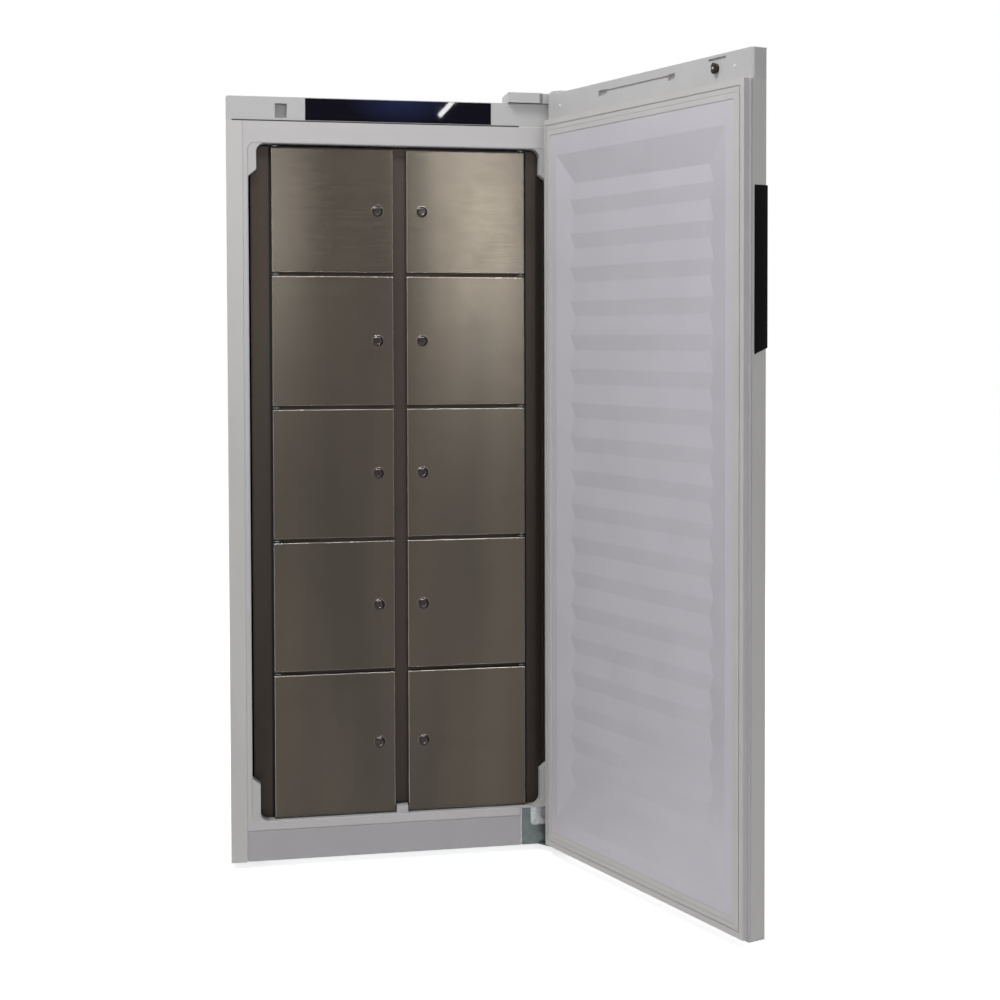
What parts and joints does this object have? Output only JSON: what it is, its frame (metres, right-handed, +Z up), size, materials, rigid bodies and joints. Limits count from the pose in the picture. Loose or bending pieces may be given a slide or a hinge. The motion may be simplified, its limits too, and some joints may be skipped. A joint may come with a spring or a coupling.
{
  "type": "upright refrigerator with locker compartments",
  "caption": "Upright refrigerator with one full-height hinged door and two columns of lockable steel compartments inside.",
  "frame": {"origin": "on the floor, under the middle of the cabinet's width, in the plane that the door seals on", "axes": "+Z up, +Y from the front to the back, +X to the right seen from the front"},
  "size_m": [0.9803, 1.441, 1.6845],
  "materials": {
    "coated_steel": "satin light grey coating",
    "galvanised_steel": "bare galvanised sheet",
    "liner_plastic": "light grey formed plastic",
    "foam": "rigid foam",
    "housing_plastic": "light grey moulded plastic",
    "white_plastic": "plain moulded plastic",
    "black_plastic": "matt moulded plastic",
    "grip_plastic": "satin black",
    "dark_glass": "polished dark glass",
    "stainless_steel": "brushed, horizontal grain",
    "zinc_steel": "bright zinc plate",
    "chrome": "polished",
    "aluminium": "bare fins",
    "black_enamel": "satin black enamel",
    "rubber": "matt rubber",
    "gasket_rubber": "light grey flexible seal",
    "copper": "drawn copper"
  },
  "bodies": {
    "cabinet": {"outer_shell": "coated_steel", "back_panel": "galvanised_steel", "inner_liner": "liner_plastic", "insulation": "foam", "base_deck": "galvanised_steel", "base_frame": "galvanised_steel", "levelling_feet": "black_plastic", "lower_panel": "coated_steel", "control_panel": "housing_plastic", "display_glass": "dark_glass", "lock_keeper": "housing_plastic", "spacer_blocks": "white_plastic", "locker_carcass": "stainless_steel", "locker_divider": "stainless_steel", "locker_shelves": "stainless_steel", "locker_pivots": "stainless_steel", "air_duct_cover": "liner_plastic", "fan_housing": "black_plastic", "evaporator": "aluminium", "compressor": "black_enamel", "compressor_mounts": "rubber", "condenser": "black_enamel", "evaporation_tray": "black_plastic", "terminal_box": "black_plastic", "refrigerant_pipes": "copper", "top_hinge": "zinc_steel", "top_hinge_cover": "housing_plastic", "bottom_hinge": "zinc_steel", "screws": "zinc_steel"},
    "fan": {"fan_rotor": "black_plastic"},
    "door": {"door_skin": "coated_steel", "door_liner": "liner_plastic", "door_foam": "foam", "door_gasket": "gasket_rubber", "door_top_cap": "housing_plastic", "door_bottom_cap": "housing_plastic", "door_bushes": "black_plastic", "door_grip": "grip_plastic", "door_lock": "chrome"},
    "door_hook": {"door_hook": "zinc_steel"},
    "locker_door_left_1": {"locker_door_left_1": "stainless_steel"},
    "locker_lock_left_1": {"locker_lock_left_1": "chrome"},
    "locker_door_right_1": {"locker_door_right_1": "stainless_steel"},
    "locker_lock_right_1": {"locker_lock_right_1": "chrome"},
    "locker_door_left_2": {"locker_door_left_2": "stainless_steel"},
    "locker_lock_left_2": {"locker_lock_left_2": "chrome"},
    "locker_door_right_2": {"locker_door_right_2": "stainless_steel"},
    "locker_lock_right_2": {"locker_lock_right_2": "chrome"},
    "locker_door_left_3": {"locker_door_left_3": "stainless_steel"},
    "locker_lock_left_3": {"locker_lock_left_3": "chrome"},
    "locker_door_right_3": {"locker_door_right_3": "stainless_steel"},
    "locker_lock_right_3": {"locker_lock_right_3": "chrome"},
    "locker_door_left_4": {"locker_door_left_4": "stainless_steel"},
    "locker_lock_left_4": {"locker_lock_left_4": "chrome"},
    "locker_door_right_4": {"locker_door_right_4": "stainless_steel"},
    "locker_lock_right_4": {"locker_lock_right_4": "chrome"},
    "locker_door_left_5": {"locker_door_left_5": "stainless_steel"},
    "locker_lock_left_5": {"locker_lock_left_5": "chrome"},
    "locker_door_right_5": {"locker_door_right_5": "stainless_steel"},
    "locker_lock_right_5": {"locker_lock_right_5": "chrome"}
  },
  "joints": [
    {"name": "door_hinge", "type": "hinge", "parent": "cabinet", "child": "door", "pos_m": [0.348, -0.038, 0.85], "axis": [0, 0, 1], "range_deg": [-110, 5]},
    {"name": "door_lock_turn", "type": "hinge", "parent": "door", "child": "door_hook", "pos_m": [0.53497, -0.61484, 1.652], "axis": [0.9397, 0.342, 0], "range_deg": [0, 30]},
    {"name": "fan_spin", "type": "hinge", "parent": "cabinet", "child": "fan", "pos_m": [0, 0.46, 1.24], "axis": [0, 1, 0], "continuous": true},
    {"name": "hinge_left_1", "type": "hinge", "parent": "cabinet", "child": "locker_door_left_1", "pos_m": [-0.268, 0.02, 0.258], "axis": [0, 0, -1], "range_deg": [0, 95]},
    {"name": "lock_left_1", "type": "hinge", "parent": "locker_door_left_1", "child": "locker_lock_left_1", "pos_m": [-0.0485, 0.02, 0.258], "axis": [0, -1, 0], "range_deg": [0, 90]},
    {"name": "hinge_right_1", "type": "hinge", "parent": "cabinet", "child": "locker_door_right_1", "pos_m": [0.268, 0.02, 0.258], "axis": [0, 0, 1], "range_deg": [0, 95]},
    {"name": "lock_right_1", "type": "hinge", "parent": "locker_door_right_1", "child": "locker_lock_right_1", "pos_m": [0.0485, 0.02, 0.258], "axis": [0, 1, 0], "range_deg": [0, 90]},
    {"name": "hinge_left_2", "type": "hinge", "parent": "cabinet", "child": "locker_door_left_2", "pos_m": [-0.268, 0.02, 0.5615], "axis": [0, 0, -1], "range_deg": [0, 95]},
    {"name": "lock_left_2", "type": "hinge", "parent": "locker_door_left_2", "child": "locker_lock_left_2", "pos_m": [-0.0485, 0.02, 0.5615], "axis": [0, -1, 0], "range_deg": [0, 90]},
    {"name": "hinge_right_2", "type": "hinge", "parent": "cabinet", "child": "locker_door_right_2", "pos_m": [0.268, 0.02, 0.5615], "axis": [0, 0, 1], "range_deg": [0, 95]},
    {"name": "lock_right_2", "type": "hinge", "parent": "locker_door_right_2", "child": "locker_lock_right_2", "pos_m": [0.0485, 0.02, 0.5615], "axis": [0, 1, 0], "range_deg": [0, 90]},
    {"name": "hinge_left_3", "type": "hinge", "parent": "cabinet", "child": "locker_door_left_3", "pos_m": [-0.268, 0.02, 0.8505], "axis": [0, 0, -1], "range_deg": [0, 95]},
    {"name": "lock_left_3", "type": "hinge", "parent": "locker_door_left_3", "child": "locker_lock_left_3", "pos_m": [-0.0485, 0.02, 0.8505], "axis": [0, -1, 0], "range_deg": [0, 90]},
    {"name": "hinge_right_3", "type": "hinge", "parent": "cabinet", "child": "locker_door_right_3", "pos_m": [0.268, 0.02, 0.8505], "axis": [0, 0, 1], "range_deg": [0, 95]},
    {"name": "lock_right_3", "type": "hinge", "parent": "locker_door_right_3", "child": "locker_lock_right_3", "pos_m": [0.0485, 0.02, 0.8505], "axis": [0, 1, 0], "range_deg": [0, 90]},
    {"name": "hinge_left_4", "type": "hinge", "parent": "cabinet", "child": "locker_door_left_4", "pos_m": [-0.268, 0.02, 1.1395], "axis": [0, 0, -1], "range_deg": [0, 95]},
    {"name": "lock_left_4", "type": "hinge", "parent": "locker_door_left_4", "child": "locker_lock_left_4", "pos_m": [-0.0485, 0.02, 1.1395], "axis": [0, -1, 0], "range_deg": [0, 90]},
    {"name": "hinge_right_4", "type": "hinge", "parent": "cabinet", "child": "locker_door_right_4", "pos_m": [0.268, 0.02, 1.1395], "axis": [0, 0, 1], "range_deg": [0, 95]},
    {"name": "lock_right_4", "type": "hinge", "parent": "locker_door_right_4", "child": "locker_lock_right_4", "pos_m": [0.0485, 0.02, 1.1395], "axis": [0, 1, 0], "range_deg": [0, 90]},
    {"name": "hinge_left_5", "type": "hinge", "parent": "cabinet", "child": "locker_door_left_5", "pos_m": [-0.268, 0.02, 1.4215], "axis": [0, 0, -1], "range_deg": [0, 95]},
    {"name": "lock_left_5", "type": "hinge", "parent": "locker_door_left_5", "child": "locker_lock_left_5", "pos_m": [-0.0485, 0.02, 1.4215], "axis": [0, -1, 0], "range_deg": [0, 90]},
    {"name": "hinge_right_5", "type": "hinge", "parent": "cabinet", "child": "locker_door_right_5", "pos_m": [0.268, 0.02, 1.4215], "axis": [0, 0, 1], "range_deg": [0, 95]},
    {"name": "lock_right_5", "type": "hinge", "parent": "locker_door_right_5", "child": "locker_lock_right_5", "pos_m": [0.0485, 0.02, 1.4215], "axis": [0, 1, 0], "range_deg": [0, 90]}
  ]
}
